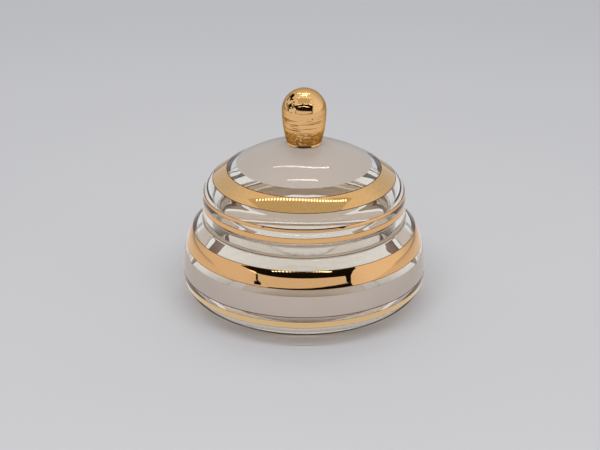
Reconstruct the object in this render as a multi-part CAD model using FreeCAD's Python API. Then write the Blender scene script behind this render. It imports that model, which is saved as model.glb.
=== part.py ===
import FreeCAD, Part
import math
import os

# Glass trinket box: a squat bowl and a deep drum-shaped lid with a gilded knob, all turned about Z.
# Sizes are in millimetres. The bowl stands on z = 0 and the common axis runs through the origin.

# Bowl, outside: the belly is its widest ring, and the other rings stand in from it.
# Heights go up in steps from the foot to the flank, belly, shoulder and seat.
BELLY_RADIUS = 60.0
FOOT_INSET = 20.5
FLANK_INSET = 5.4
SHOULDER_INSET = 3.3
SEAT_INSET = 9.8
FLANK_STEP = 7.0
BELLY_STEP = 10.3
SHOULDER_STEP = 19.3
SEAT_STEP = 7.8

# Bowl, inside and underneath
BOWL_WALL = 3.0
FLOOR_INSET = 12.8
FLOOR_HEIGHT = 7.2
SHOULDER_DROP = 3.6
SEAT_THICKNESS = 2.6
FOOT_RING = 8.5
PUNT_DEPTH = 1.4

# Ground collar of the bowl, which stands up inside the lid
COLLAR_WALL = 2.6
COLLAR_RISE = 5.0
LID_PLAY = 0.7

# Lid: heights go up in steps from the rim to the drum's top, its shoulder and the crown
RIM_INSET = 0.2
RIM_ROUND = 0.6
LID_WALL = 4.8
DRUM_TAPER = 0.3
DRUM_SHOULDER_INSET = 4.8
CROWN_RADIUS = 8.8
DRUM_STEP = 11.6
DRUM_SHOULDER_STEP = 9.0
CROWN_STEP = 18.3

# Knob, with its radii counted from that of the lid's crown and its heights from the crown up
KNOB_COLLAR_ROUND = 0.4
KNOB_NECK_INSET = 0.7
KNOB_HEAD_SWELL = 1.8
KNOB_HEAD_RISE = 16.9

# Fired-on layers: their thickness, and the edges of each on the outside of the glass.
# Edges on the bowl are counted up from its belly, edges on the lid up from its rim.
GOLD_FILM = 0.2
SATIN_FILM = 0.2
FOOT_LINE_LOW = -4.6
FOOT_LINE_HIGH = -1.1
BELLY_SATIN_LOW = 1.2
BELLY_SATIN_HIGH = 11.6
SHOULDER_BAND_LOW = 14.8
SHOULDER_BAND_HIGH = 23.0
LOWER_LINE_LOW = 7.6
LOWER_LINE_HIGH = 10.4
UPPER_LINE_LOW = 13.3
UPPER_LINE_HIGH = 15.0
DRUM_BAND_LOW = 20.9
DRUM_BAND_HIGH = 26.1
DOME_SATIN_LOW = 28.8
GILDING_EDGE = 0.2

# Sizes that follow: the lid sits on the seat, and the collar fits inside the lid with play
FOOT_RADIUS = BELLY_RADIUS - FOOT_INSET
FLANK_RADIUS = BELLY_RADIUS - FLANK_INSET
SHOULDER_RADIUS = BELLY_RADIUS - SHOULDER_INSET
SEAT_RADIUS = BELLY_RADIUS - SEAT_INSET
BELLY_HEIGHT = FLANK_STEP + BELLY_STEP
SHOULDER_HEIGHT = BELLY_HEIGHT + SHOULDER_STEP
SEAT_HEIGHT = SHOULDER_HEIGHT + SEAT_STEP
FLOOR_RADIUS = BELLY_RADIUS - FLOOR_INSET
PUNT_RADIUS = FOOT_RADIUS - FOOT_RING
RIM_RADIUS = SEAT_RADIUS - RIM_INSET
LID_INNER_RADIUS = RIM_RADIUS - LID_WALL
COLLAR_RADIUS = LID_INNER_RADIUS - LID_PLAY
MOUTH_RADIUS = COLLAR_RADIUS - COLLAR_WALL
RIM_HEIGHT = SEAT_HEIGHT
DRUM_HEIGHT = RIM_HEIGHT + DRUM_STEP
DRUM_SHOULDER_HEIGHT = DRUM_HEIGHT + DRUM_SHOULDER_STEP
CROWN_HEIGHT = DRUM_SHOULDER_HEIGHT + CROWN_STEP
KNOB_NECK_RADIUS = CROWN_RADIUS - KNOB_NECK_INSET
KNOB_HEAD_RADIUS = CROWN_RADIUS + KNOB_HEAD_SWELL
KNOB_NECK_HEIGHT = CROWN_HEIGHT + KNOB_COLLAR_ROUND
KNOB_HEAD_HEIGHT = CROWN_HEIGHT + KNOB_HEAD_RISE
KNOB_TOP = KNOB_HEAD_HEIGHT + KNOB_HEAD_RADIUS

ORIGIN = FreeCAD.Vector(0, 0, 0)
UP = FreeCAD.Vector(0, 0, 1)
DOWN = FreeCAD.Vector(0, 0, -1)
OUT = FreeCAD.Vector(1, 0, 0)
STRAIGHT_AHEAD = 1e-6
TOUCH = 1e-6


def at(radius, height):
    """Point of a turned profile, in the half plane through the axis."""
    return FreeCAD.Vector(radius, 0, height)


def line(start, end):
    return Part.LineSegment(start, end).toShape()


def unit(vector):
    return vector / vector.Length


def outward(heading):
    """Side that faces away from the glass on a profile that climbs along heading."""
    return FreeCAD.Vector(heading.z, 0, -heading.x)


def stretch(start, heading, end):
    """Arc that leaves start along heading and reaches end, or a line where end lies straight ahead."""
    chord = end - start
    turn = heading.getAngle(chord)
    if turn < STRAIGHT_AHEAD:
        return line(start, end)
    along = unit(chord)
    side = unit(heading - along * heading.dot(along))
    middle = start + chord / 2 + side * (chord.Length / 2 * math.tan(turn / 2))
    return Part.Arc(start, middle, end).toShape()


def run(start, heading, *ends):
    """Smooth run of arcs through ends: each point with the heading of the run there."""
    stations = [(start, heading)]
    for end in ends:
        along = unit(end - start)
        heading = along * (2 * heading.dot(along)) - heading
        start = end
        stations.append((start, heading))
    return stations


def backwards(stations):
    return [(point, heading * -1) for point, heading in reversed(stations)]


def offset(stations, distance):
    """The same run moved by distance, away from the glass if positive."""
    return [(point + outward(heading) * distance, heading) for point, heading in stations]


def edges(stations):
    return [stretch(point, heading, end) for (point, heading), (end, _) in zip(stations, stations[1:])]


def section(profile):
    """Flat face inside a closed profile."""
    return Part.Face(Part.Wire(Part.__sortEdges__(profile)))


def turned(face):
    """Solid that a flat face sweeps about the axis."""
    return face.revolve(ORIGIN, UP, 360)


def ring(start, heading, end, height):
    """Point at a height on a climbing stretch that bulges away from the axis, with the heading there."""
    chord = end - start
    turn = heading.getAngle(chord)
    if turn < STRAIGHT_AHEAD:
        return start + chord * ((height - start.z) / chord.z), heading
    side = unit(chord - heading * heading.dot(chord))
    radius = chord.Length / 2 / math.sin(turn)
    centre = start + side * radius
    rise = height - centre.z
    reach = math.sqrt(radius ** 2 - rise ** 2)
    return at(centre.x + reach, height), at(-rise / radius, reach / radius)


def marked(stations, heights):
    """The same climbing run with a station more at each height, where a layer begins or ends."""
    found = [stations[0]]
    for (start, heading), (end, end_heading) in zip(stations, stations[1:]):
        found += [ring(start, heading, end, height) for height in heights if start.z < height < end.z]
        found.append((end, end_heading))
    return found


def layer(stations, film, low, high):
    """Layer fired onto a marked run, film thick, between two heights."""
    inner = [station for station in stations if low - TOUCH < station[0].z < high + TOUCH]
    outer = offset(inner, film)
    bottom = line(inner[0][0], outer[0][0])
    top = line(inner[-1][0], outer[-1][0])
    return turned(section(edges(inner) + edges(outer) + [bottom, top]))


def bowl_outside():
    """Outside of the bowl from the foot up to the seat, steepest at the belly, with its layers marked."""
    belly = at(BELLY_RADIUS, BELLY_HEIGHT)
    flank = at(FLANK_RADIUS, FLANK_STEP)
    foot = at(FOOT_RADIUS, 0)
    shoulder = at(SHOULDER_RADIUS, SHOULDER_HEIGHT)
    seat = at(SEAT_RADIUS, SEAT_HEIGHT)
    curve = backwards(run(belly, DOWN, flank, foot)) + run(belly, UP, shoulder, seat)[1:]
    layer_edges = [
        FOOT_LINE_LOW, FOOT_LINE_HIGH, BELLY_SATIN_LOW, BELLY_SATIN_HIGH, SHOULDER_BAND_LOW, SHOULDER_BAND_HIGH]
    return marked(curve, [BELLY_HEIGHT + edge for edge in layer_edges])


def bowl_inside():
    """Inside of the bowl from the floor up to the mouth."""
    belly = at(BELLY_RADIUS - BOWL_WALL, BELLY_HEIGHT)
    floor = at(FLOOR_RADIUS, FLOOR_HEIGHT)
    shoulder = at(SHOULDER_RADIUS - BOWL_WALL, SHOULDER_HEIGHT - SHOULDER_DROP)
    mouth = at(MOUTH_RADIUS, SEAT_HEIGHT - SEAT_THICKNESS)
    return backwards(run(belly, DOWN, floor)) + run(belly, UP, shoulder, mouth)[1:]


def bowl_glass():
    """Bowl with a ground seat for the lid, a fire-polished collar and a dished underside."""
    outside = bowl_outside()
    inside = bowl_inside()
    seat_outer = outside[-1][0]
    seat_inner = at(COLLAR_RADIUS, SEAT_HEIGHT)
    lip_radius = COLLAR_WALL / 2
    lip_outer = at(COLLAR_RADIUS, SEAT_HEIGHT + COLLAR_RISE - lip_radius)
    lip_inner = lip_outer - OUT * COLLAR_WALL
    lip_top = lip_outer + at(-lip_radius, lip_radius)
    mouth = inside[-1][0]
    floor_edge = inside[0][0]
    floor_centre = at(0, FLOOR_HEIGHT)
    punt_centre = at(0, PUNT_DEPTH)
    punt_edge = at(PUNT_RADIUS, 0)
    foot_edge = outside[0][0]
    collar = [
        line(seat_outer, seat_inner),
        line(seat_inner, lip_outer),
        Part.Arc(lip_outer, lip_top, lip_inner).toShape(),
        line(lip_inner, mouth),
    ]
    base = [
        line(floor_edge, floor_centre),
        line(floor_centre, punt_centre),
        stretch(punt_centre, OUT, punt_edge),
        line(punt_edge, foot_edge),
    ]
    return turned(section(edges(outside) + collar + edges(inside) + base))


def lid_curve():
    """Outside of the lid from its rim up the drum and over the dome to the crown."""
    rim = at(RIM_RADIUS, RIM_HEIGHT + RIM_ROUND)
    drum_top = at(RIM_RADIUS - DRUM_TAPER, DRUM_HEIGHT)
    shoulder = at(RIM_RADIUS - DRUM_SHOULDER_INSET, DRUM_SHOULDER_HEIGHT)
    crown = at(CROWN_RADIUS, CROWN_HEIGHT)
    return run(rim, unit(drum_top - rim), drum_top, shoulder, crown)


def lid_outside():
    """Outside of the lid with its layers marked."""
    layer_edges = [
        LOWER_LINE_LOW, LOWER_LINE_HIGH, UPPER_LINE_LOW, UPPER_LINE_HIGH, DRUM_BAND_LOW, DRUM_BAND_HIGH,
        DOME_SATIN_LOW]
    return marked(lid_curve(), [RIM_HEIGHT + edge for edge in layer_edges])


def lid_inside():
    """Inside of the lid, one wall in from the outside, rounded off to level at the axis."""
    stations = offset(lid_curve()[1:], -LID_WALL)
    crown, heading = stations[-1]
    level = heading.z / (1 - heading.x)
    apex = at(0, crown.z + crown.x * level)
    return stations + run(crown, heading, apex)[1:]


def lid_glass():
    """Lid shell with a ground flat rim and a flat land on the crown for the knob."""
    outside = lid_outside()
    inside = lid_inside()
    rim_top = outside[0][0]
    rim_outer = at(RIM_RADIUS - RIM_ROUND, RIM_HEIGHT)
    rim_inner = at(LID_INNER_RADIUS, RIM_HEIGHT)
    crown_edge = outside[-1][0]
    crown_centre = at(0, CROWN_HEIGHT)
    rim = [
        line(inside[0][0], rim_inner),
        line(rim_inner, rim_outer),
        stretch(rim_outer, OUT, rim_top),
    ]
    crown = [
        line(crown_edge, crown_centre),
        line(crown_centre, inside[-1][0]),
    ]
    return turned(section(edges(outside) + rim + edges(inside) + crown))


def knob_outside():
    """Outside of the knob from its neck round the head to the top, with the gilding's edge marked."""
    head = at(KNOB_HEAD_RADIUS, KNOB_HEAD_HEIGHT)
    neck = at(KNOB_NECK_RADIUS, KNOB_NECK_HEIGHT)
    top = at(0, KNOB_TOP)
    curve = backwards(run(head, DOWN, neck)) + run(head, UP, top)[1:]
    return marked(curve, [KNOB_NECK_HEIGHT + GILDING_EDGE])


def knob_glass():
    """Solid glass knob on a clear rounded collar that is set on the crown of the lid."""
    outside = knob_outside()
    foot_edge = at(CROWN_RADIUS, CROWN_HEIGHT)
    ledge_edge = at(CROWN_RADIUS - KNOB_COLLAR_ROUND, KNOB_NECK_HEIGHT)
    foot_centre = at(0, CROWN_HEIGHT)
    collar = [
        line(foot_centre, foot_edge),
        stretch(foot_edge, UP, ledge_edge),
        line(ledge_edge, outside[0][0]),
        line(outside[-1][0], foot_centre),
    ]
    return turned(section(edges(outside) + collar))


def lid_layer(film, low, high):
    return layer(lid_outside(), film, RIM_HEIGHT + low, RIM_HEIGHT + high)


def bowl_layer(film, low, high):
    return layer(bowl_outside(), film, BELLY_HEIGHT + low, BELLY_HEIGHT + high)


def knob_gilding():
    """Gold that covers the whole knob above its clear collar."""
    return layer(knob_outside(), GOLD_FILM, KNOB_NECK_HEIGHT + GILDING_EDGE, KNOB_TOP)


pieces = {
    "bowl_glass": bowl_glass(),
    "bowl_foot_gold_line": bowl_layer(GOLD_FILM, FOOT_LINE_LOW, FOOT_LINE_HIGH),
    "bowl_belly_satin_band": bowl_layer(SATIN_FILM, BELLY_SATIN_LOW, BELLY_SATIN_HIGH),
    "bowl_shoulder_gold_band": bowl_layer(GOLD_FILM, SHOULDER_BAND_LOW, SHOULDER_BAND_HIGH),
    "lid_glass": lid_glass(),
    "lid_lower_gold_line": lid_layer(GOLD_FILM, LOWER_LINE_LOW, LOWER_LINE_HIGH),
    "lid_upper_gold_line": lid_layer(GOLD_FILM, UPPER_LINE_LOW, UPPER_LINE_HIGH),
    "lid_shoulder_gold_band": lid_layer(GOLD_FILM, DRUM_BAND_LOW, DRUM_BAND_HIGH),
    "lid_dome_satin": lid_layer(SATIN_FILM, DOME_SATIN_LOW, CROWN_HEIGHT - RIM_HEIGHT),
    "lid_knob": knob_glass(),
    "lid_knob_gilding": knob_gilding(),
}

os.makedirs("parts", exist_ok=True)
for name, shape in pieces.items():
    shape.exportStep(f"parts/{name}.step")
    solids = len(shape.Solids)
    print(f"{name}: {solids} solid, valid {shape.isValid()}, {shape.Volume:.0f} cubic mm")
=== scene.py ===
import math
import bmesh
import bpy
from mathutils import Matrix, Vector


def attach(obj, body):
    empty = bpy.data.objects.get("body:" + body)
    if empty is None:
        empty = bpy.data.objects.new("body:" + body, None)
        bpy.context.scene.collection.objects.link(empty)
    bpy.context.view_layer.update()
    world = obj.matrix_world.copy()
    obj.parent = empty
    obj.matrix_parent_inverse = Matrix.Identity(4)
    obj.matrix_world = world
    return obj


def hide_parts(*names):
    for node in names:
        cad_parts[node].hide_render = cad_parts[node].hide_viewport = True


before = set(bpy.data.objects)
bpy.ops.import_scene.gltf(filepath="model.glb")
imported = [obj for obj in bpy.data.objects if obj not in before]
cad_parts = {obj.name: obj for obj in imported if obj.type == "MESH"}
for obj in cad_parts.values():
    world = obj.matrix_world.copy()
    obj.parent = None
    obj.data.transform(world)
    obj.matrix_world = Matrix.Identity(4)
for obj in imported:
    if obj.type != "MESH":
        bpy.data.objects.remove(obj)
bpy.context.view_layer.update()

# Glass trinket box: a squat bowl and a deep drum-shaped lid with a gilded knob, all turned about Z.
# Sizes of the box are in millimetres, as in the part's source, and MM turns them to metres.
MM = 0.001

# Bowl, outside
FOOT_RADIUS = 39.5
FLANK_RADIUS = 54.6
FLANK_HEIGHT = 7.0
BELLY_RADIUS = 60.0
BELLY_HEIGHT = 17.3
SHOULDER_RADIUS = 56.7
SHOULDER_HEIGHT = 36.6
SEAT_RADIUS = 50.2
SEAT_HEIGHT = 44.4

# Bowl, inside and underneath
BOWL_WALL = 3.0
FLOOR_RADIUS = 47.2
FLOOR_HEIGHT = 7.2
SHOULDER_DROP = 3.6
SEAT_THICKNESS = 2.6
PUNT_RADIUS = 31.0
PUNT_DEPTH = 1.4

# Collar of the bowl, which stands up inside the lid
COLLAR_WALL = 2.6
COLLAR_RISE = 5.0
LID_PLAY = 0.7

# Lid, with heights counted from its rim
RIM_INSET = 0.2
RIM_ROUND = 0.6
LID_WALL = 4.8
DRUM_RISE = 11.6
DRUM_TAPER = 0.3
DRUM_SHOULDER_RADIUS = 45.2
DRUM_SHOULDER_RISE = 20.6
CROWN_RADIUS = 8.8
CROWN_RISE = 38.9

# Knob, with heights counted from the crown of the lid
KNOB_COLLAR_ROUND = 0.4
KNOB_NECK_RADIUS = 8.1
KNOB_HEAD_RADIUS = 10.6
KNOB_HEAD_RISE = 16.9

# Edges of the fired-on layers: on the bowl counted from its foot, on the lid from its rim
FOOT_LINE_LOW = 12.7
FOOT_LINE_HIGH = 16.2
BELLY_SATIN_LOW = 18.5
BELLY_SATIN_HIGH = 28.9
SHOULDER_BAND_LOW = 32.1
SHOULDER_BAND_HIGH = 40.3
LOWER_LINE_LOW = 7.6
LOWER_LINE_HIGH = 10.4
UPPER_LINE_LOW = 13.3
UPPER_LINE_HIGH = 15.0
DRUM_BAND_LOW = 20.9
DRUM_BAND_HIGH = 26.1
DOME_SATIN_LOW = 28.8

# Brown edges where the layers thin out, and the swell of a brushed line
FOOT_LINE_EDGE = 0.12
BELLY_SATIN_EDGE = 0.4
SHOULDER_BAND_EDGE = 0.22
LOWER_LINE_EDGE = 0.2
UPPER_LINE_EDGE = 0.15
UPPER_LINE_SWELL = 0.12
DRUM_BAND_EDGE = 0.2

# Gold on the knob, which starts above its clear collar and ends there in a bead
GILDING_EDGE = 0.2
KNOB_GOLD = 0.2
KNOB_TOE = 0.32
KNOB_TOE_RISE = 0.75
KNOB_TOE_HOLLOW = 1.3
KNOB_TOE_SHARES = (0.0, 0.3, 0.6, 0.9)

# Sizes that follow: the lid sits on the seat, and the collar fits inside the lid with play
RIM_RADIUS = SEAT_RADIUS - RIM_INSET
LID_INNER_RADIUS = RIM_RADIUS - LID_WALL
COLLAR_RADIUS = LID_INNER_RADIUS - LID_PLAY
MOUTH_RADIUS = COLLAR_RADIUS - COLLAR_WALL
RIM_HEIGHT = SEAT_HEIGHT
CROWN_HEIGHT = RIM_HEIGHT + CROWN_RISE
KNOB_NECK_HEIGHT = CROWN_HEIGHT + KNOB_COLLAR_ROUND
KNOB_HEAD_HEIGHT = CROWN_HEIGHT + KNOB_HEAD_RISE
KNOB_TOP = KNOB_HEAD_HEIGHT + KNOB_HEAD_RADIUS

# How finely the turned pieces are cut
FACETS = 288
STEP = 0.45
SAME_HEIGHT = 0.001
SHARP_EDGE = math.radians(32)

# How the lid lies on the seat and the thin layers on the glass
RIM_GAP = 0.08
PROUD = 0.06
SUNK = 0.03

UP = Vector((0.0, 1.0))
DOWN = Vector((0.0, -1.0))
OUT = Vector((1.0, 0.0))


# Profiles: points are (radius, height) in the half plane through the axis

def at(radius, height):
    return Vector((radius, height))


def outward(heading):
    """Side that faces away from the glass on a profile that climbs along heading."""
    return Vector((heading.y, -heading.x))


def turned_by(vector, angle):
    return Matrix.Rotation(angle, 2) @ vector


def bend(start, heading, end):
    """Angle between the heading at start and the chord to end, positive to the left."""
    chord = end - start
    return math.atan2(heading.x * chord.y - heading.y * chord.x, heading.dot(chord))


def run(start, heading, *ends):
    """Smooth run of arcs through ends: each point with the heading of the run there."""
    stations = [(start, heading)]
    for end in ends:
        heading = turned_by(heading, 2 * bend(start, heading, end))
        start = end
        stations.append((start, heading))
    return stations


def backwards(stations):
    return [(point, -heading) for point, heading in reversed(stations)]


def offset(stations, distance):
    """The same run moved by distance, away from the glass if positive."""
    return [(point + outward(heading) * distance, heading) for point, heading in stations]


def stretch(start, heading, end):
    """Points and headings along the arc that leaves start along heading and reaches end, without start."""
    angle = bend(start, heading, end)
    chord = (end - start).length
    cuts = max(1, math.ceil(chord / STEP))
    found = []
    for cut in range(1, cuts + 1):
        share = cut / cuts
        reach = chord * share
        if abs(angle) > 1e-6:
            reach = chord * math.sin(share * angle) / math.sin(angle)
        point = start + turned_by(heading, share * angle) * reach
        found.append((point, turned_by(heading, 2 * share * angle)))
    return found


def course(stations):
    """Points and headings along a whole run, finely spaced."""
    found = [stations[0]]
    for (point, heading), (end, _) in zip(stations, stations[1:]):
        found += stretch(point, heading, end)
    return found


def points(stations):
    return [point for point, _ in stations]


def between(stations, low, high):
    """The part of a climbing course between two heights, with points exactly at both."""
    found = []
    for (point, heading), (end, end_heading) in zip(stations, stations[1:]):
        for level in (low, high):
            if point.y < level < end.y:
                share = (level - point.y) / (end.y - point.y)
                found.append((point.lerp(end, share), heading.lerp(end_heading, share).normalized()))
        if low <= end.y <= high:
            found.append((end, end_heading))
    found.sort(key=lambda station: station[0].y)
    return found


def bowl_outside():
    """Outside of the bowl from the foot up to the seat, steepest at the belly."""
    belly = at(BELLY_RADIUS, BELLY_HEIGHT)
    flank = at(FLANK_RADIUS, FLANK_HEIGHT)
    foot = at(FOOT_RADIUS, 0)
    shoulder = at(SHOULDER_RADIUS, SHOULDER_HEIGHT)
    seat = at(SEAT_RADIUS, SEAT_HEIGHT)
    return backwards(run(belly, DOWN, flank, foot)) + run(belly, UP, shoulder, seat)[1:]


def bowl_inside():
    """Inside of the bowl from the floor up to the mouth."""
    belly = at(BELLY_RADIUS - BOWL_WALL, BELLY_HEIGHT)
    floor = at(FLOOR_RADIUS, FLOOR_HEIGHT)
    shoulder = at(SHOULDER_RADIUS - BOWL_WALL, SHOULDER_HEIGHT - SHOULDER_DROP)
    mouth = at(MOUTH_RADIUS, SEAT_HEIGHT - SEAT_THICKNESS)
    return backwards(run(belly, DOWN, floor)) + run(belly, UP, shoulder, mouth)[1:]


def lid_outside():
    """Outside of the lid from its rim up the drum and over the dome to the crown."""
    rim = at(RIM_RADIUS, RIM_HEIGHT + RIM_ROUND)
    drum_top = at(RIM_RADIUS - DRUM_TAPER, RIM_HEIGHT + DRUM_RISE)
    shoulder = at(DRUM_SHOULDER_RADIUS, RIM_HEIGHT + DRUM_SHOULDER_RISE)
    crown = at(CROWN_RADIUS, CROWN_HEIGHT)
    return run(rim, (drum_top - rim).normalized(), drum_top, shoulder, crown)


def lid_inside():
    """Inside of the lid, one wall in from the outside, rounded off to level at the axis."""
    stations = offset(lid_outside()[1:], -LID_WALL)
    crown, heading = stations[-1]
    level = heading.y / (1 - heading.x)
    apex = at(0, crown.y + crown.x * level)
    return stations + run(crown, heading, apex)[1:]


def knob_outside():
    """Outside of the knob from its neck round the head to the top."""
    head = at(KNOB_HEAD_RADIUS, KNOB_HEAD_HEIGHT)
    neck = at(KNOB_NECK_RADIUS, KNOB_NECK_HEIGHT)
    top = at(0, KNOB_TOP)
    return backwards(run(head, DOWN, neck)) + run(head, UP, top)[1:]


# Meshes

def turned_piece(name, outline, finishes, finish_of):
    """Closed piece that an outline sweeps about the axis.
    finish_of gives the number of the finish for each step of the outline."""
    mesh = bpy.data.meshes.new(name)
    build = bmesh.new()
    rings = []
    for point in outline:
        if point.x < 1e-4:
            rings.append([build.verts.new((0, 0, point.y * MM))])
            continue
        ring = []
        for facet in range(FACETS):
            angle = 2 * math.pi * facet / FACETS
            place = (point.x * MM * math.cos(angle), point.x * MM * math.sin(angle), point.y * MM)
            ring.append(build.verts.new(place))
        rings.append(ring)
    for step, ring in enumerate(rings):
        after = rings[(step + 1) % len(rings)]
        if len(ring) == 1 and len(after) == 1:
            continue
        for facet in range(FACETS):
            following = (facet + 1) % FACETS
            corners = []
            for vert in (
                ring[facet % len(ring)],
                ring[following % len(ring)],
                after[following % len(after)],
                after[facet % len(after)],
            ):
                if vert not in corners:
                    corners.append(vert)
            face = build.faces.new(corners)
            face.smooth = True
            face.material_index = finish_of[step]
    bmesh.ops.recalc_face_normals(build, faces=build.faces)
    build.to_mesh(mesh)
    build.free()
    mesh.set_sharp_from_angle(angle=SHARP_EDGE)
    for finish in finishes:
        mesh.materials.append(finish)
    piece = bpy.data.objects.new(name, mesh)
    bpy.context.scene.collection.objects.link(piece)
    return piece


def fired_layer(name, stations, low, high, finishes, low_edge=0.0, high_edge=0.0, swell=0.0):
    """Thin layer fired onto a turned surface between two heights, with its reverse against the glass.
    Along its edges the face thins out and shows a burnt edge. A brushed line swells along its middle.
    The finishes are those of the face, the reverse and the edges."""
    on_face, on_reverse, on_edge = range(3)
    whole = course(stations)
    solid_low = low + low_edge
    solid_high = high - high_edge
    held = between(whole, solid_low, solid_high)
    if low_edge:
        held = between(whole, low, solid_low) + held[1:]
    if high_edge:
        held += between(whole, solid_high, high)[1:]
    front = []
    for point, heading in held:
        across = (2 * point.y - low - high) / (high - low)
        front.append(point + outward(heading) * (PROUD + swell * (1 - across ** 2)))
    back = points(offset(held, -SUNK))
    outline = front + back[::-1]
    finish_of = []
    for point in points(held):
        solid = solid_low - SAME_HEIGHT <= point.y < solid_high - SAME_HEIGHT
        finish_of.append(on_face if solid else on_edge)
    finish_of += [on_reverse] * len(back)
    return turned_piece(name, outline, finishes, finish_of)


def settle(piece, body, slot, *nodes):
    """Puts a piece on its body, in place of its solids; its slot is not used."""
    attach(piece, body)
    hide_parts(*nodes)


# Materials

SODA_GLASS_IOR = 1.52

# Wear of the knob's gold, in millimetres: where streaks, painted glints of highlight and the puddled ring
# start and are full
WAIST_HIGH = KNOB_HEAD_HEIGHT + 1
WAIST_FULL = KNOB_HEAD_HEIGHT - 2
PUDDLE_HIGH = CROWN_HEIGHT + 9.2
PUDDLE_FULL = CROWN_HEIGHT + 7.6
PAINTED_GLINTS_START = -6.0
PAINTED_GLINTS_FULL = -8.5

# Flecks where the knob's gold is worn through: x, y, height above the middle of the head, and reach
FLECKS = ((-5.9, -3.5, 8.1, 3.8), (-6.8, -6.8, 4.6, 3.6))

# Where the painted light on the reverse of the gold starts and is palest, in millimetres behind the axis
PAINTED_LIGHT_REVERSE_START = 34
PAINTED_LIGHT_REVERSE_FULL = 50


def colour(code):
    """Linear colour of an sRGB hex value."""
    linear = []
    for place in (1, 3, 5):
        share = int(code[place:place + 2], 16) / 255
        linear.append(share / 12.92 if share <= 0.04045 else ((share + 0.055) / 1.055) ** 2.4)
    return (*linear, 1.0)


def per_metre(size):
    """Scale of a pattern whose marks are size millimetres apart."""
    return 1 / (size * MM)


def add(tree, kind, inputs=None, **settings):
    """Adds a node with its settings, and its inputs as values or as other nodes' outputs."""
    made = tree.nodes.new(kind)
    for setting, value in settings.items():
        setattr(made, setting, value)
    for socket, value in (inputs or {}).items():
        if isinstance(value, bpy.types.NodeSocket):
            tree.links.new(value, made.inputs[socket])
        else:
            made.inputs[socket].default_value = value
    return made


def new_finish(name):
    """Empty material with its output, ready for its nodes."""
    finish = bpy.data.materials.new(name)
    finish.use_nodes = True
    tree = finish.node_tree
    tree.nodes.clear()
    return finish, tree, tree.nodes.new("ShaderNodeOutputMaterial")


def lamp_light(tree):
    """1 for the rays that carry the lamps' light through a piece, 0 for those that the eye follows."""
    path = add(tree, "ShaderNodeLightPath")
    carried = add(tree, "ShaderNodeMath", {
        0: path.outputs["Is Shadow Ray"], 1: path.outputs["Is Diffuse Ray"]}, operation="MAXIMUM")
    return carried.outputs["Value"]


def blend(tree, share, first, second):
    """First shader, with a share of the second."""
    both = add(tree, "ShaderNodeMixShader", {0: share, 1: first, 2: second})
    return both.outputs["Shader"]


def soda_glass(name, wave, height):
    """Soda-lime glass: clear, bright and faintly warm, with slow waves of a given size in its skin.
    Lamps shine through it as through a thin clear pane."""
    finish, tree, out = new_finish(name)
    place = add(tree, "ShaderNodeTexCoord")
    waves = add(tree, "ShaderNodeTexNoise", {
        "Vector": place.outputs["Object"], "Scale": per_metre(wave), "Detail": 1.5, "Roughness": 0.4})
    skin = add(tree, "ShaderNodeBump", {
        "Height": waves.outputs["Fac"], "Strength": 0.5, "Distance": height * MM})
    glass = add(tree, "ShaderNodeBsdfPrincipled", {
        "Base Color": colour("#FCFAF7"), "Roughness": 0.0, "IOR": SODA_GLASS_IOR,
        "Transmission Weight": 1.0, "Specular Tint": colour("#D2BCA6"), "Normal": skin.outputs["Normal"]})
    pane = add(tree, "ShaderNodeBsdfTransparent", {"Color": colour("#F7F4F0")})
    seen = blend(tree, lamp_light(tree), glass.outputs["BSDF"], pane.outputs["BSDF"])
    tree.links.new(seen, out.inputs["Surface"])
    return finish


def moulded_glass():
    """Outside of the glass, blown against the mould and fire-polished: smooth and bright."""
    return soda_glass("moulded_glass", 14, 0.04)


def blown_glass():
    """Inside of the glass, blown free of the mould: as clear, with deeper waves."""
    return soda_glass("blown_glass", 11, 0.2)


def heel_glass():
    """Soda-lime glass at the heel of the bowl, thick and rolled under to the foot:
    clear, with a painted dark outline of shade where the eye skims along it."""
    finish, tree, out = new_finish("heel_glass")
    glass = add(tree, "ShaderNodeBsdfPrincipled", {
        "Base Color": colour("#F4EEE4"), "Roughness": 0.0, "IOR": SODA_GLASS_IOR,
        "Transmission Weight": 1.0})
    # Painted shade: a dark brown shown where the heel is seen edge-on, in place of the shaded table behind
    # it.
    dark = add(tree, "ShaderNodeBsdfDiffuse", {"Color": colour("#564B3D")})
    skimmed = add(tree, "ShaderNodeLayerWeight", {"Blend": 0.5})
    outline = add(tree, "ShaderNodeMapRange", {
        "Value": skimmed.outputs["Facing"], "From Min": 0.68, "From Max": 0.82},
        interpolation_type="SMOOTHSTEP")
    edged = blend(tree, outline.outputs["Result"], glass.outputs["BSDF"], dark.outputs["BSDF"])
    pane = add(tree, "ShaderNodeBsdfTransparent", {"Color": colour("#F7F4F0")})
    seen = blend(tree, lamp_light(tree), edged, pane.outputs["BSDF"])
    tree.links.new(seen, out.inputs["Surface"])
    return finish


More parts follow.
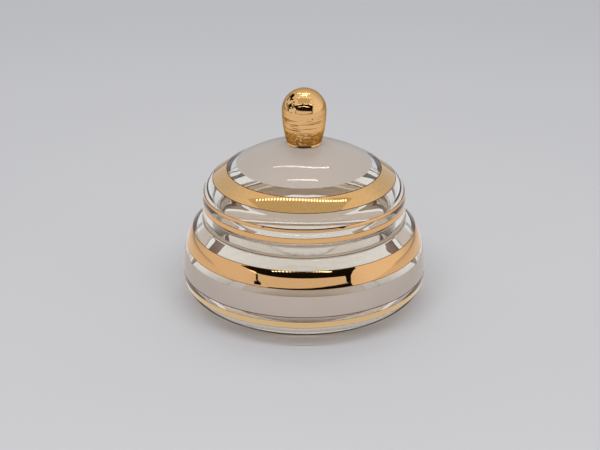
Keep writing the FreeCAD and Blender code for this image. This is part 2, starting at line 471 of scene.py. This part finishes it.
def ground_glass(name, pale, deep, clearness):
    """Soda-lime glass of the underside, foot, seat and rim, ground with grit:
    frosted and pale where it is clean, brown where grime has settled on the rim, and brown on the foot ring
    as painted shade."""
    finish, tree, out = new_finish(name)
    place = add(tree, "ShaderNodeTexCoord")
    grit = add(tree, "ShaderNodeTexNoise", {
        "Vector": place.outputs["Object"], "Scale": per_metre(0.8), "Detail": 2.0})
    tone = add(tree, "ShaderNodeMix", {
        0: grit.outputs["Fac"], 6: colour(pale), 7: colour(deep)}, data_type="RGBA")
    glow = add(tree, "ShaderNodeBsdfTranslucent", {"Color": tone.outputs[2]})
    frost = add(tree, "ShaderNodeBsdfPrincipled", {
        "Base Color": tone.outputs[2], "Roughness": 0.5, "IOR": 1.5})
    cloudy = blend(tree, 0.5, glow.outputs["BSDF"], frost.outputs["BSDF"])
    pane = add(tree, "ShaderNodeBsdfTransparent", {"Color": tone.outputs[2]})
    lit = add(tree, "ShaderNodeMath", {0: lamp_light(tree), 1: clearness}, operation="MAXIMUM")
    seen = blend(tree, lit.outputs["Value"], cloudy, pane.outputs["BSDF"])
    tree.links.new(seen, out.inputs["Surface"])
    return finish


def bright_gold(name, pale, deep):
    """Liquid bright gold, brushed on at the wheel and fired: a mirror with faint strokes that run round
    the piece and a fine grain, the deeper the further its two tones lie apart."""
    finish, tree, out = new_finish(name)
    place = add(tree, "ShaderNodeTexCoord")
    along = add(tree, "ShaderNodeMapping", {
        "Vector": place.outputs["Object"], "Scale": (per_metre(40), per_metre(40), per_metre(0.7))})
    strokes = add(tree, "ShaderNodeTexNoise", {
        "Vector": along.outputs["Vector"], "Scale": 1.0, "Detail": 3.0, "Roughness": 0.6})
    pores = add(tree, "ShaderNodeTexNoise", {
        "Vector": place.outputs["Object"], "Scale": per_metre(0.6), "Detail": 3.0, "Roughness": 0.7})
    speckle = add(tree, "ShaderNodeMapRange", {
        "Value": pores.outputs["Fac"], "From Min": 0.35, "From Max": 0.7})
    tone = add(tree, "ShaderNodeMix", {
        0: speckle.outputs["Result"], 6: colour(pale), 7: colour(deep)}, data_type="RGBA")
    polish = add(tree, "ShaderNodeMapRange", {
        "Value": strokes.outputs["Fac"], "From Min": 0.35, "From Max": 0.7,
        "To Min": 0.01, "To Max": 0.06})
    ridge = add(tree, "ShaderNodeBump", {
        "Height": strokes.outputs["Fac"], "Strength": 0.25, "Distance": 0.004 * MM})
    gold = add(tree, "ShaderNodeBsdfPrincipled", {
        "Base Color": tone.outputs[2], "Metallic": 1.0, "Roughness": polish.outputs["Result"],
        "Normal": ridge.outputs["Normal"]})
    tree.links.new(gold.outputs["BSDF"], out.inputs["Surface"])
    return finish


def worn_knob_gold():
    """Gold on the knob, brushed on, fired and handled for years: dark flecks where it is worn through on
    one side, long dark streaks of the brush round its waist, and a mottled lumpy ring at the neck, where
    the liquid gold ran together, with pale glints on its front that are a painted highlight."""
    finish, tree, out = new_finish("worn_knob_gold")
    place = add(tree, "ShaderNodeTexCoord")
    spot = add(tree, "ShaderNodeSeparateXYZ", {"Vector": place.outputs["Object"]})
    along = add(tree, "ShaderNodeMapping", {
        "Vector": place.outputs["Object"], "Scale": (per_metre(11), per_metre(11), per_metre(0.75))})
    brush = add(tree, "ShaderNodeTexNoise", {
        "Vector": along.outputs["Vector"], "Scale": 1.0, "Detail": 3.0, "Roughness": 0.6})
    streaks = add(tree, "ShaderNodeMapRange", {
        "Value": brush.outputs["Fac"], "From Min": 0.55, "From Max": 0.64})
    waist = add(tree, "ShaderNodeMapRange", {
        "Value": spot.outputs["Z"], "From Min": WAIST_HIGH * MM, "From Max": WAIST_FULL * MM})
    bare = add(tree, "ShaderNodeMath", {
        0: streaks.outputs["Result"], 1: waist.outputs["Result"]}, operation="MULTIPLY")
    streaked = add(tree, "ShaderNodeMix", {
        0: bare.outputs["Value"], 6: colour("#E6B87F"), 7: colour("#7A4A20")}, data_type="RGBA")
    crumbs = add(tree, "ShaderNodeTexNoise", {
        "Vector": place.outputs["Object"], "Scale": per_metre(1.3), "Detail": 2.0, "Roughness": 0.6})
    blotches = add(tree, "ShaderNodeMapRange", {
        "Value": crumbs.outputs["Fac"], "From Min": 0.42, "From Max": 0.58})
    mottled = add(tree, "ShaderNodeMix", {
        0: blotches.outputs["Result"], 6: colour("#B27C38"), 7: colour("#D6A05A")}, data_type="RGBA")
    # Painted highlight: pale glints painted into the gold's colour on the front of the ring.
    facing = add(tree, "ShaderNodeMapRange", {
        "Value": spot.outputs["Y"], "From Min": PAINTED_GLINTS_START * MM, "From Max": PAINTED_GLINTS_FULL * MM,
        "To Min": -0.1, "To Max": 0.0})
    lifted = add(tree, "ShaderNodeMath", {
        0: crumbs.outputs["Fac"], 1: facing.outputs["Result"]}, operation="ADD")
    painted_glints = add(tree, "ShaderNodeMapRange", {
        "Value": lifted.outputs["Value"], "From Min": 0.6, "From Max": 0.66})
    painted_glinting = add(tree, "ShaderNodeMix", {
        0: painted_glints.outputs["Result"], 6: mottled.outputs[2], 7: colour("#FFF0C8")}, data_type="RGBA")
    puddle = add(tree, "ShaderNodeMapRange", {
        "Value": spot.outputs["Z"], "From Min": PUDDLE_HIGH * MM, "From Max": PUDDLE_FULL * MM})
    pooled = add(tree, "ShaderNodeMix", {
        0: puddle.outputs["Result"], 6: streaked.outputs[2], 7: painted_glinting.outputs[2]}, data_type="RGBA")
    worn = pooled.outputs[2]
    for side, front, rise, reach in FLECKS:
        centre = (side * MM, front * MM, (KNOB_HEAD_HEIGHT + rise) * MM)
        away = add(tree, "ShaderNodeVectorMath", {
            0: place.outputs["Object"], 1: centre}, operation="DISTANCE")
        near = add(tree, "ShaderNodeMapRange", {
            "Value": away.outputs["Value"], "From Min": 0.0, "From Max": reach * MM,
            "To Min": 0.22, "To Max": -0.16})
        level = add(tree, "ShaderNodeMath", {
            0: crumbs.outputs["Fac"], 1: near.outputs["Result"]}, operation="ADD")
        fleck = add(tree, "ShaderNodeMapRange", {
            "Value": level.outputs["Value"], "From Min": 0.53, "From Max": 0.57})
        flecked = add(tree, "ShaderNodeMix", {
            0: fleck.outputs["Result"], 6: worn, 7: colour("#1C110A")}, data_type="RGBA")
        worn = flecked.outputs[2]
    rough = add(tree, "ShaderNodeMapRange", {
        "Value": brush.outputs["Fac"], "From Min": 0.35, "From Max": 0.7, "To Min": 0.03, "To Max": 0.12})
    lumps = add(tree, "ShaderNodeMath", {
        0: crumbs.outputs["Fac"], 1: puddle.outputs["Result"]}, operation="MULTIPLY")
    ridge = add(tree, "ShaderNodeBump", {
        "Height": brush.outputs["Fac"], "Strength": 0.4, "Distance": 0.05 * MM})
    skin = add(tree, "ShaderNodeBump", {
        "Height": lumps.outputs["Value"], "Strength": 1.0, "Distance": 0.5 * MM,
        "Normal": ridge.outputs["Normal"]})
    gold = add(tree, "ShaderNodeBsdfPrincipled", {
        "Base Color": worn, "Metallic": 1.0, "Roughness": rough.outputs["Result"],
        "Specular Tint": colour("#D2BEA0"), "Normal": skin.outputs["Normal"]})
    tree.links.new(gold.outputs["BSDF"], out.inputs["Surface"])
    return finish


def burnt_gold_reverse_with_painted_light():
    """Underside of the fired gold, seen through the glass: dull brown, where the flux bit into the glass,
    and painted pale at the back of the box, as painted light where the light through its mouth would fall on
    it."""
    finish, tree, out = new_finish("burnt_gold_reverse_with_painted_light")
    place = add(tree, "ShaderNodeTexCoord")
    clouds = add(tree, "ShaderNodeTexNoise", {
        "Vector": place.outputs["Object"], "Scale": per_metre(3), "Detail": 3.0})
    brown = add(tree, "ShaderNodeMix", {
        0: clouds.outputs["Fac"], 6: colour("#4A260E"), 7: colour("#6A3A1A")}, data_type="RGBA")
    spot = add(tree, "ShaderNodeSeparateXYZ", {"Vector": place.outputs["Object"]})
    # Painted light: the reverse turns pale towards the back of the box, as if lit through its mouth.
    rearward = add(tree, "ShaderNodeMapRange", {
        "Value": spot.outputs["Y"], "From Min": PAINTED_LIGHT_REVERSE_START * MM, "From Max": PAINTED_LIGHT_REVERSE_FULL * MM},
        interpolation_type="SMOOTHSTEP")
    tone = add(tree, "ShaderNodeMix", {
        0: rearward.outputs["Result"], 6: brown.outputs[2], 7: colour("#F0E2D0")}, data_type="RGBA")
    burnt = add(tree, "ShaderNodeBsdfPrincipled", {
        "Base Color": tone.outputs[2], "Roughness": 0.6, "Specular IOR Level": 0.1})
    tree.links.new(burnt.outputs["BSDF"], out.inputs["Surface"])
    return finish


def satin_lustre(name, pale, deep, glow_share, clearness):
    """Pale taupe lustre sprayed on the glass and fired: soft and cloudy below, with a glassy skin on top.
    Most of the light from the lamps goes on through it, so the inside of the box stays bright."""
    finish, tree, out = new_finish(name)
    place = add(tree, "ShaderNodeTexCoord")
    spray = add(tree, "ShaderNodeTexNoise", {
        "Vector": place.outputs["Object"], "Scale": per_metre(0.5), "Detail": 2.0})
    clouds = add(tree, "ShaderNodeTexNoise", {
        "Vector": place.outputs["Object"], "Scale": per_metre(18), "Detail": 2.0})
    tone = add(tree, "ShaderNodeMix", {
        0: clouds.outputs["Fac"], 6: colour(pale), 7: colour(deep)}, data_type="RGBA")
    grain = add(tree, "ShaderNodeMapRange", {
        "Value": spray.outputs["Fac"], "From Min": 0.3, "From Max": 0.7, "To Min": 0.4, "To Max": 0.55})
    satin = add(tree, "ShaderNodeBsdfPrincipled", {
        "Base Color": tone.outputs[2], "Roughness": grain.outputs["Result"], "IOR": 1.5,
        "Coat Weight": 0.7, "Coat Roughness": 0.04, "Coat IOR": 1.5})
    glow = add(tree, "ShaderNodeBsdfTranslucent", {"Color": tone.outputs[2]})
    cloudy = blend(tree, glow_share, satin.outputs["BSDF"], glow.outputs["BSDF"])
    pane = add(tree, "ShaderNodeBsdfTransparent", {"Color": colour("#F0E8E2")})
    lit = add(tree, "ShaderNodeMath", {0: lamp_light(tree), 1: clearness}, operation="MULTIPLY")
    seen = blend(tree, lit.outputs["Value"], cloudy, pane.outputs["BSDF"])
    tree.links.new(seen, out.inputs["Surface"])
    return finish


def fused_bond():
    """Joint where the hot knob was set on the lid: the glass ran together, so it lets all light through."""
    finish, tree, out = new_finish("fused_bond")
    bond = add(tree, "ShaderNodeBsdfTransparent", {"Color": colour("#FFFFFF")})
    tree.links.new(bond.outputs["BSDF"], out.inputs["Surface"])
    return finish


def studio_paper():
    """Pale cool grey paper of the table sweep: matt, with a barely visible cloudiness.
    Gold and glass mirror it as a painted reflection, a glow as bright as lit paper in front of the box and
    duller behind it, and through the glass it shows a painted pool of light that brightens towards the back,
    where the bowl would gather the lamp's light."""
    finish, tree, out = new_finish("studio_paper")
    place = add(tree, "ShaderNodeTexCoord")
    clouds = add(tree, "ShaderNodeTexNoise", {
        "Vector": place.outputs["Object"], "Scale": per_metre(220), "Detail": 2.0})
    tone = add(tree, "ShaderNodeMix", {
        0: clouds.outputs["Fac"], 6: colour("#C0C1C6"), 7: colour("#BCBDC3")}, data_type="RGBA")
    paper = add(tree, "ShaderNodeBsdfPrincipled", {
        "Base Color": tone.outputs[2], "Roughness": 0.9, "Specular IOR Level": 0.1})
    # Painted reflection and painted pool of light: the paper glows for rays off or through the gold and
    # glass.
    shine = add(tree, "ShaderNodeEmission", {"Color": colour("#EFEDEA")})
    path = add(tree, "ShaderNodeLightPath")
    mirrored = add(tree, "ShaderNodeMath", {
        0: path.outputs["Is Glossy Ray"], 1: path.outputs["Is Transmission Ray"]},
        operation="SUBTRACT", use_clamp=True)
    spot = add(tree, "ShaderNodeSeparateXYZ", {"Vector": place.outputs["Object"]})
    lit_front = add(tree, "ShaderNodeMapRange", {
        "Value": spot.outputs["Y"], "From Min": 0.05, "From Max": 0.35, "To Min": 0.93, "To Max": 0.0})
    most = add(tree, "ShaderNodeMath", {
        0: mirrored.outputs["Value"], 1: lit_front.outputs["Result"]}, operation="MULTIPLY")
    # Painted pool of light: seen through the glass the paper glows more towards the back of the box.
    painted_pool_of_light = add(tree, "ShaderNodeMapRange", {
        "Value": spot.outputs["Y"], "From Min": -0.02, "From Max": 0.045, "To Min": 0.05, "To Max": 0.68},
        interpolation_type="SMOOTHSTEP")
    share = add(tree, "ShaderNodeMath", {
        0: path.outputs["Is Transmission Ray"], 1: painted_pool_of_light.outputs["Result"], 2: most.outputs["Value"]},
        operation="MULTIPLY_ADD")
    seen = blend(tree, share.outputs["Value"], paper.outputs["BSDF"], shine.outputs["Emission"])
    tree.links.new(seen, out.inputs["Surface"])
    return finish


def diode(brightness):
    """Bare white diodes of the tent's lamps: small and bright, fine lines in gold and glass."""
    finish, tree, out = new_finish("diode")
    lamp = add(tree, "ShaderNodeEmission", {"Color": colour("#FFF8EC"), "Strength": brightness})
    tree.links.new(lamp.outputs["Emission"], out.inputs["Surface"])
    return finish


def panel_painted_glow():
    """Warm grey moulded plastic of the lamp panel, shown as a painted even glow instead of being lit: dull
    and even, so gold that mirrors it looks deeper.
    """
    finish, tree, out = new_finish("panel_painted_glow")
    # Painted glow: the panel shines at a fixed brightness and is not lit by the lamps.
    glow = add(tree, "ShaderNodeEmission", {"Color": colour("#D1CFC0")})
    tree.links.new(glow.outputs["Emission"], out.inputs["Surface"])
    return finish


def black_card():
    """Black matt card round the lens, which gold and glass mirror as the dark front of the tent."""
    finish, tree, out = new_finish("black_card")
    felt = add(tree, "ShaderNodeBsdfPrincipled", {
        "Base Color": colour("#0E0D0D"), "Roughness": 0.9, "Specular IOR Level": 0.1})
    tree.links.new(felt.outputs["BSDF"], out.inputs["Surface"])
    return finish


# Pieces of the bowl

def blown_bowl(finishes):
    """Bowl with a ground seat for the lid, a fire-polished collar and a dished underside.
    The finishes are those of its outside, inside, ground faces, foot and heel."""
    on_outside, on_inside, on_ground, on_foot, on_heel = range(5)
    outside = bowl_outside()
    inside = bowl_inside()
    lip = COLLAR_WALL / 2
    lip_outer = at(COLLAR_RADIUS, SEAT_HEIGHT + COLLAR_RISE - lip)
    lip_top = lip_outer + at(-lip, lip)
    lip_inner = lip_outer - OUT * COLLAR_WALL
    punt = run(at(0, PUNT_DEPTH), OUT, at(PUNT_RADIUS, 0))
    outline = points(course(punt))
    ring = len(outline) - 1
    outline += points(course(outside))
    seat = len(outline) - 1
    outline += [at(COLLAR_RADIUS, SEAT_HEIGHT)]
    outline += points(course(run(lip_outer, UP, lip_top, lip_inner)))
    lip_end = len(outline)
    outline += points(course(backwards(inside)))
    outline += [at(0, FLOOR_HEIGHT)]
    finish_of = [on_ground] * ring + [on_foot]
    for after in outline[ring + 2:seat + 1]:
        finish_of.append(on_heel if after.y < FOOT_LINE_LOW else on_outside)
    finish_of += [on_ground] + [on_outside] * (lip_end - seat - 1)
    finish_of += [on_inside] * (len(outline) - lip_end)
    return turned_piece("blown_bowl", outline, finishes, finish_of)


# Pieces of the lid

def blown_lid(finishes):
    """Lid shell with a ground flat rim and a flat land on the crown for the knob.
    The finishes are those of its outside, inside, ground rim, land and rounded edge."""
    on_outside, on_inside, on_rim, on_land, on_edge = range(5)
    outside = lid_outside()
    inside = lid_inside()
    rim_outer = at(RIM_RADIUS - RIM_ROUND, RIM_HEIGHT + RIM_GAP)
    outline = [at(LID_INNER_RADIUS, RIM_HEIGHT + RIM_GAP), rim_outer]
    outline += points(stretch(rim_outer, OUT, outside[0][0]))
    edge = len(outline) - 1
    outline += points(course(outside))[1:]
    land = len(outline) - 1
    outline += [at(0, CROWN_HEIGHT)]
    outline += points(course(backwards(inside)))
    finish_of = [on_rim] + [on_edge] * (edge - 1)
    finish_of += [on_outside] * (land - edge) + [on_land]
    finish_of += [on_inside] * (len(outline) - land - 1)
    return turned_piece("blown_lid", outline, finishes, finish_of)


def glass_knob(glass, joint):
    """Solid glass knob on a clear rounded collar that is set on the crown of the lid."""
    on_glass, on_joint = range(2)
    foot_edge = at(CROWN_RADIUS, CROWN_HEIGHT)
    ledge_edge = at(CROWN_RADIUS - KNOB_COLLAR_ROUND, KNOB_NECK_HEIGHT)
    outline = [at(0, CROWN_HEIGHT)]
    outline += points(course(run(foot_edge, UP, ledge_edge)))
    outline += points(course(knob_outside()))
    finish_of = [on_joint] + [on_glass] * (len(outline) - 1)
    return turned_piece("glass_knob", outline, [glass, joint], finish_of)


def knob_gilding(face, reverse, toe_face):
    """Gold over the whole knob above its clear collar, with a bead of gold run down to its lower edge."""
    on_face, on_reverse, on_toe = range(3)
    held = between(course(knob_outside()), KNOB_NECK_HEIGHT + GILDING_EDGE, KNOB_TOP)
    front = points(offset(held, KNOB_GOLD))
    back = points(offset(held, -SUNK))
    front[-1].x = 0
    back[-1].x = 0
    edge = front[0]
    toe = []
    for share in KNOB_TOE_SHARES:
        toe.append(edge + at(KNOB_TOE * (1 - share) ** KNOB_TOE_HOLLOW, KNOB_TOE_RISE * share))
    above = [point for point in front if point.y > edge.y + KNOB_TOE_RISE]
    outline = toe + above + back[::-1]
    finish_of = [on_toe] * len(toe) + [on_face] * len(above) + [on_reverse] * len(back)
    return turned_piece("knob_gilding", outline, [face, reverse, toe_face], finish_of)


# The box

clear = moulded_glass()
wavy = blown_glass()
heel = heel_glass()
frosted = ground_glass("ground_glass", "#F6EFE6", "#EADFD2", 0.4)
# Painted shade: the foot ring is brown, standing in for the shaded table under the box.
painted_shade_foot = ground_glass("painted_shade_foot", "#8E7A62", "#78654E", 0.0)
grimy = ground_glass("grimy_rim", "#806A54", "#66503C", 0.0)
gold = bright_gold("bright_gold", "#E4B57F", "#DEAD76")
grained_gold = bright_gold("grained_gold", "#E6BE88", "#D4A46A")
rubbed_gold = bright_gold("rubbed_gold", "#E0C090", "#D6B284")
knob_gold = worn_knob_gold()
reverse = burnt_gold_reverse_with_painted_light()
satin = satin_lustre("satin_lustre", "#C2B6AE", "#BBAEA5", 0.25, 0.85)
dome_satin = satin_lustre("dome_satin_lustre", "#BBB1AB", "#B6ABA4", 0.25, 0.6)
# Painted light: a much paler copy of the satin for its inside face, so the inside of the box looks brightly
# lit.
satin_painted_lit_inside = satin_lustre("satin_lustre_painted_lit_inside", "#F4EEE8", "#EEE6DF", 0.9, 0.92)
bond = fused_bond()

settle(blown_bowl([clear, wavy, frosted, painted_shade_foot, heel]), "bowl", "clear_glass", "bowl_glass")
settle(
    fired_layer(
        "foot_gold_line", bowl_outside(), FOOT_LINE_LOW, FOOT_LINE_HIGH,
        [rubbed_gold, reverse, reverse], FOOT_LINE_EDGE, FOOT_LINE_EDGE),
    "bowl", "gilding", "bowl_foot_gold_line")
settle(
    fired_layer(
        "belly_satin", bowl_outside(), BELLY_SATIN_LOW, BELLY_SATIN_HIGH,
        [satin, satin_painted_lit_inside, reverse], BELLY_SATIN_EDGE),
    "bowl", "satin_enamel", "bowl_belly_satin_band")
settle(
    fired_layer(
        "shoulder_gold_band", bowl_outside(), SHOULDER_BAND_LOW, SHOULDER_BAND_HIGH,
        [gold, reverse, reverse], SHOULDER_BAND_EDGE, SHOULDER_BAND_EDGE),
    "bowl", "gilding", "bowl_shoulder_gold_band")

settle(blown_lid([clear, wavy, frosted, bond, grimy]), "lid", "clear_glass", "lid_glass")
settle(
    fired_layer(
        "lid_gold_line_below", lid_outside(), RIM_HEIGHT + LOWER_LINE_LOW, RIM_HEIGHT + LOWER_LINE_HIGH,
        [gold, reverse, reverse], LOWER_LINE_EDGE, LOWER_LINE_EDGE),
    "lid", "gilding", "lid_lower_gold_line")
settle(
    fired_layer(
        "lid_gold_line_above", lid_outside(), RIM_HEIGHT + UPPER_LINE_LOW, RIM_HEIGHT + UPPER_LINE_HIGH,
        [gold, reverse, reverse], UPPER_LINE_EDGE, UPPER_LINE_EDGE, UPPER_LINE_SWELL),
    "lid", "gilding", "lid_upper_gold_line")
settle(
    fired_layer(
        "lid_gold_band", lid_outside(), RIM_HEIGHT + DRUM_BAND_LOW, RIM_HEIGHT + DRUM_BAND_HIGH,
        [grained_gold, reverse, reverse], DRUM_BAND_EDGE, DRUM_BAND_EDGE),
    "lid", "gilding", "lid_shoulder_gold_band")
settle(
    fired_layer(
        "dome_satin", lid_outside(), RIM_HEIGHT + DOME_SATIN_LOW, CROWN_HEIGHT,
        [dome_satin, satin_painted_lit_inside, satin_painted_lit_inside]),
    "lid", "satin_enamel", "lid_dome_satin")
settle(glass_knob(clear, bond), "lid", "clear_glass", "lid_knob")
settle(knob_gilding(knob_gold, reverse, gold), "lid", "gilding", "lid_knob_gilding")


# Studio: table, light and camera, in metres

TABLE_REACH = 4.0
CARD_PLACE = -0.62
DIODE_PLACE = -0.61
DIODE_HEIGHT = 0.5
PANEL_HEIGHT = 0.502
CORNER_BRIGHTNESS = 2.5
LENS_LENGTH = 108
SENSOR_WIDTH = 36
LENS_PLACE = (-0.002, -0.8123, 0.4065)
LENS_TILT = math.radians(65.68)


def board(name, corners, finish):
    """Flat board of the stage."""
    mesh = bpy.data.meshes.new(name)
    mesh.from_pydata([Vector(corner) for corner in corners], [], [tuple(range(len(corners)))])
    mesh.materials.append(finish)
    made = bpy.data.objects.new(name, mesh)
    bpy.context.scene.collection.objects.link(made)
    return made


def diode_strip(name, left, middle, right, lamps, half_width, half_depth, brightness):
    """Bowed strip of small lamps that face down, from its left end to its right, hidden from the lens."""
    verts = []
    faces = []
    for lamp in range(lamps):
        share = (lamp + 0.5) / lamps
        near_left = (1 - share) * (1 - 2 * share)
        near_middle = 4 * share * (1 - share)
        near_right = share * (2 * share - 1)
        place = Vector(left) * near_left + Vector(middle) * near_middle + Vector(right) * near_right
        across = Vector((half_width, 0, 0))
        along = Vector((0, half_depth, 0))
        first = len(verts)
        verts += [place - across - along, place - across + along]
        verts += [place + across + along, place + across - along]
        faces.append((first, first + 1, first + 2, first + 3))
    mesh = bpy.data.meshes.new(name)
    mesh.from_pydata(verts, [], faces)
    mesh.materials.append(diode(brightness))
    strip = bpy.data.objects.new(name, mesh)
    strip.visible_camera = False
    strip.visible_shadow = False
    bpy.context.scene.collection.objects.link(strip)
    return strip


def ceiling_lamp(width, depth, place, brightness):
    """Long soft lamp under the ceiling of the tent, which lights the box and the table from above.
    Neither the lens nor gold and glass show it."""
    lamp = bpy.data.lights.new("ceiling_lamp", "AREA")
    lamp.shape = "RECTANGLE"
    lamp.size = width
    lamp.size_y = depth
    lamp.energy = brightness * math.pi * width * depth
    holder = bpy.data.objects.new("ceiling_lamp", lamp)
    holder.location = place
    holder.visible_camera = False
    holder.visible_glossy = False
    bpy.context.scene.collection.objects.link(holder)


def lens_card(name, outline, finish):
    """Card in front of the box, with the corners (x, z) of its outline. It shows in gold and glass alone."""
    card = board(name, [(x, CARD_PLACE, z) for x, z in outline], finish)
    card.visible_camera = False
    card.visible_diffuse = False
    card.visible_shadow = False
    return card


def lamp_panel():
    """Grey lamp panel under the ceiling, in front of its row of diodes. It shows in gold and glass alone."""
    outline = [
        (-0.35, 0.11), (-0.24, -0.07), (-0.24, -0.2), (-0.3, -0.33), (0.24, -0.33), (0.21, -0.2),
        (0.21, -0.07), (0.29, 0.07), (0.12, -0.03), (0, -0.05), (-0.14, -0.03)]
    panel = board("lamp_panel", [(x, y, PANEL_HEIGHT) for x, y in outline], panel_painted_glow())
    panel.visible_camera = False
    panel.visible_diffuse = False
    panel.visible_shadow = False


def room():
    """Pale tent all round: white cloth at the sides, a duller back and a warm pale ceiling.
    The lens sees it as an even pale backdrop."""
    world = bpy.data.worlds.new("pale_room")
    world.use_nodes = True
    tree = world.node_tree
    path = add(tree, "ShaderNodeLightPath")
    way = add(tree, "ShaderNodeTexCoord")
    heading = add(tree, "ShaderNodeSeparateXYZ", {"Vector": way.outputs["Generated"]})
    rightward = add(tree, "ShaderNodeMapRange", {
        "Value": heading.outputs["X"], "From Min": -1.0, "From Max": 1.0})
    rearward = add(tree, "ShaderNodeMapRange", {
        "Value": heading.outputs["Y"], "From Min": 0.1, "From Max": 0.75}, interpolation_type="SMOOTHSTEP")
    frontward = add(tree, "ShaderNodeMapRange", {
        "Value": heading.outputs["Y"], "From Min": -0.4, "From Max": -0.9}, interpolation_type="SMOOTHSTEP")
    upward = add(tree, "ShaderNodeMapRange", {
        "Value": heading.outputs["Z"], "From Min": 0.55, "From Max": 0.92}, interpolation_type="SMOOTHSTEP")
    sides = add(tree, "ShaderNodeMix", {
        0: rightward.outputs["Result"], 6: colour("#EEEEEE"), 7: colour("#FFFFFF")}, data_type="RGBA")
    front = add(tree, "ShaderNodeMix", {
        0: frontward.outputs["Result"], 6: sides.outputs[2], 7: colour("#E8E8E8")}, data_type="RGBA")
    walls = add(tree, "ShaderNodeMix", {
        0: rearward.outputs["Result"], 6: front.outputs[2], 7: colour("#D8DCDF")}, data_type="RGBA")
    tent = add(tree, "ShaderNodeMix", {
        0: upward.outputs["Result"], 6: walls.outputs[2], 7: colour("#F6F2E4")}, data_type="RGBA")
    lowness = add(tree, "ShaderNodeMapRange", {
        "Value": heading.outputs["Z"], "From Min": 0.1, "From Max": 0.8, "To Min": 1.35, "To Max": 0.25})
    back_light = add(tree, "ShaderNodeMath", {
        0: rearward.outputs["Result"], 1: 0.5, 2: 1.0}, operation="MULTIPLY_ADD")
    level = add(tree, "ShaderNodeMath", {
        0: lowness.outputs["Result"], 1: back_light.outputs["Value"]}, operation="MULTIPLY")
    dimmed = add(tree, "ShaderNodeVectorMath", {
        0: tent.outputs[2], "Scale": level.outputs["Value"]}, operation="SCALE")
    cloth = add(tree, "ShaderNodeMix", {
        0: path.outputs["Is Glossy Ray"], 6: dimmed.outputs["Vector"], 7: tent.outputs[2]},
        data_type="RGBA")
    shown = add(tree, "ShaderNodeMix", {
        0: path.outputs["Is Camera Ray"], 6: cloth.outputs[2], 7: colour("#C9CACD")}, data_type="RGBA")
    tree.links.new(shown.outputs[2], tree.nodes["Background"].inputs["Color"])
    bpy.context.scene.world = world


def studio():
    """Table, cards and lamps of the tent, placed as the gold of the box mirrors them."""
    reach = TABLE_REACH
    board(
        "table", [(-reach, -reach, 0), (reach, -reach, 0), (reach, reach, 0), (-reach, reach, 0)],
        studio_paper())
    black = black_card()
    lens_card("lens_card", [
        (-1.48, 0.89), (-0.97, 0.59), (-0.62, 0.344), (-0.52, 0.3), (-0.28, 0.25), (-0.1, 0.24),
        (0.16, 0.24), (0.49, 0.235), (0.494, 0.107), (0.567, 0.077), (0.603, 0.245), (0.71, 0.476),
        (0.885, 0.705), (0.885, 0.82), (-0.72, 0.82), (-1.48, 0.95)], black)
    lens_card("left_stand", [(-0.65, 0.3), (-0.6, 0.3), (-0.565, 0.13), (-0.605, 0.125)], black)
    lens_card("left_stand_foot", [
        (-0.64, 0.106), (-0.565, 0.13), (-0.5, 0.1), (-0.5, 0.074), (-0.63, 0.065)], black)
    lens_card("front_sill", [
        (-0.45, 0.05), (0.6, 0.05), (0.58, 0.085), (0.48, 0.1), (0.24, 0.092), (0, 0.082),
        (-0.36, 0.07)], black)
    lens_card("lit_corner", [
        (-0.89, 0.487), (-0.63, 0.326), (-0.7, 0.44), (-0.775, 0.492)], diode(CORNER_BRIGHTNESS))
    lamp_panel()
    ceiling_lamp(width=4.5, depth=0.09, place=(0, -1.75, 3.6), brightness=86)
    diode_strip(
        "front_diodes", (-0.405, DIODE_PLACE, 0.53), (0, DIODE_PLACE, 0.57), (0.326, DIODE_PLACE, 0.52),
        lamps=19, half_width=0.009, half_depth=0.04, brightness=9)
    diode_strip(
        "high_diodes", (-0.6, DIODE_PLACE, 0.8), (0, DIODE_PLACE, 0.81), (0.72, DIODE_PLACE, 0.8),
        lamps=40, half_width=0.008, half_depth=0.05, brightness=5)
    diode_strip(
        "ceiling_diodes",
        (-0.29, 0.055, DIODE_HEIGHT), (0, -0.048, DIODE_HEIGHT), (0.25, 0.027, DIODE_HEIGHT),
        lamps=32, half_width=0.0032, half_depth=0.005, brightness=7)
    diode_strip(
        "dome_diodes", (-0.093, 0.084, DIODE_HEIGHT), (0, 0.068, DIODE_HEIGHT), (0.08, 0.08, DIODE_HEIGHT),
        lamps=30, half_width=0.003, half_depth=0.003, brightness=30)
    diode_strip(
        "back_diodes",
        (-0.192, 0.255, DIODE_HEIGHT), (0, 0.155, DIODE_HEIGHT), (0.159, 0.222, DIODE_HEIGHT),
        lamps=60, half_width=0.003, half_depth=0.003, brightness=30)
    room()


def camera():
    """Long lens above the box and in front of it, where the photograph was taken from."""
    lens = bpy.data.cameras.new("lens")
    lens.lens = LENS_LENGTH
    lens.sensor_width = SENSOR_WIDTH
    lens.clip_start = 0.01
    stand = bpy.data.objects.new("lens", lens)
    stand.location = LENS_PLACE
    stand.rotation_euler = (LENS_TILT, 0, 0)
    bpy.context.scene.collection.objects.link(stand)
    bpy.context.scene.camera = stand


studio()
camera()
bpy.context.scene.view_settings.view_transform = "Standard"
